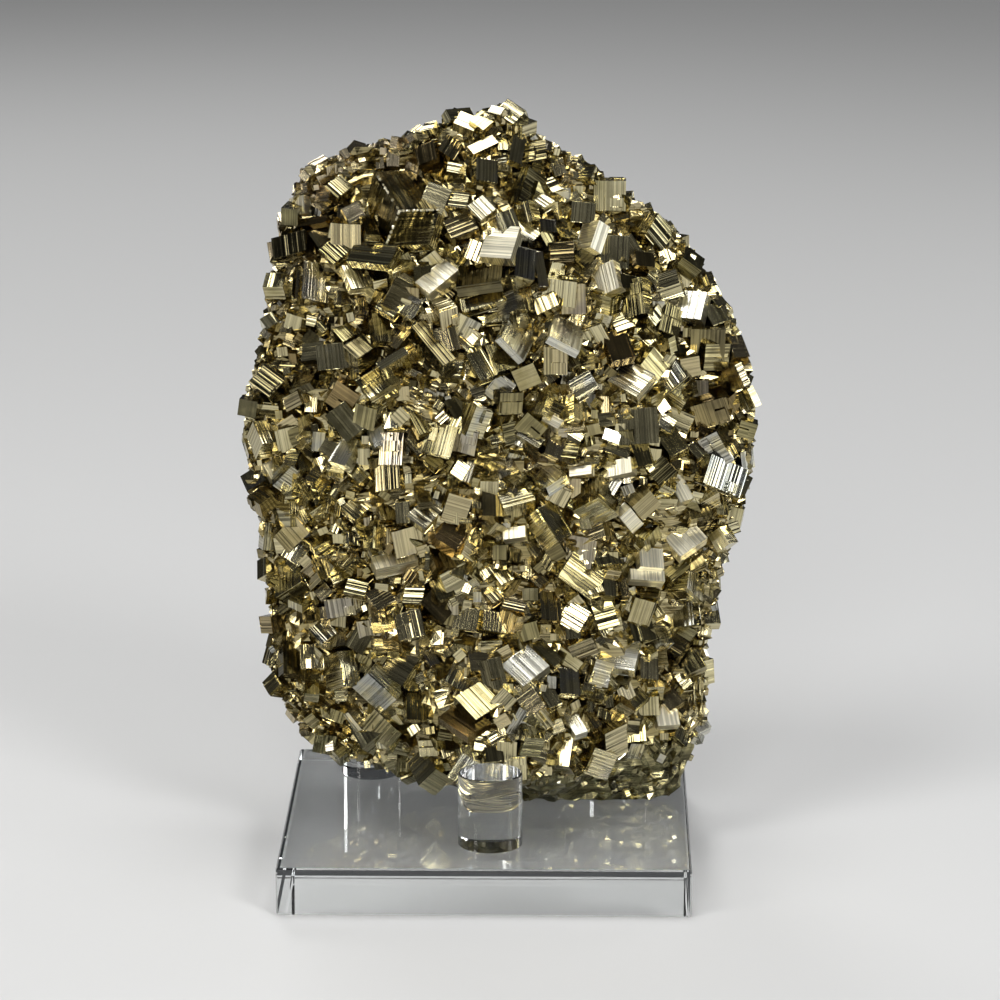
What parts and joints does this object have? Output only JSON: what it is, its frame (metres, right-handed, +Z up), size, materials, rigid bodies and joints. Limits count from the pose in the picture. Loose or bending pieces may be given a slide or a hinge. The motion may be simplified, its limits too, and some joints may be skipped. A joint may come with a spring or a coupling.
{
  "type": "pyrite specimen on stand",
  "caption": "Cluster of intergrown brassy pyrite cubes leaning on a clear acrylic stand: a square plate with a short peg in front and taller pegs behind.",
  "frame": {"origin": "centre of the square plate's underside, where it rests on a shelf", "axes": "+Z up, +X to the viewer's right, +Y away from the viewer; the crystal face looks along -Y"},
  "size_m": [0.1307, 0.1016, 0.1901],
  "materials": {
    "pyrite": "striated crystal faces, metallic lustre, light brown tarnish in the hollows",
    "clear_acrylic": "clear, polished, colourless"
  },
  "bodies": {
    "root": {"pyrite_cluster": "pyrite", "base_plate": "clear_acrylic", "front_peg": "clear_acrylic", "back_left_peg": "clear_acrylic", "back_right_peg": "clear_acrylic"}
  },
  "joints": []
}
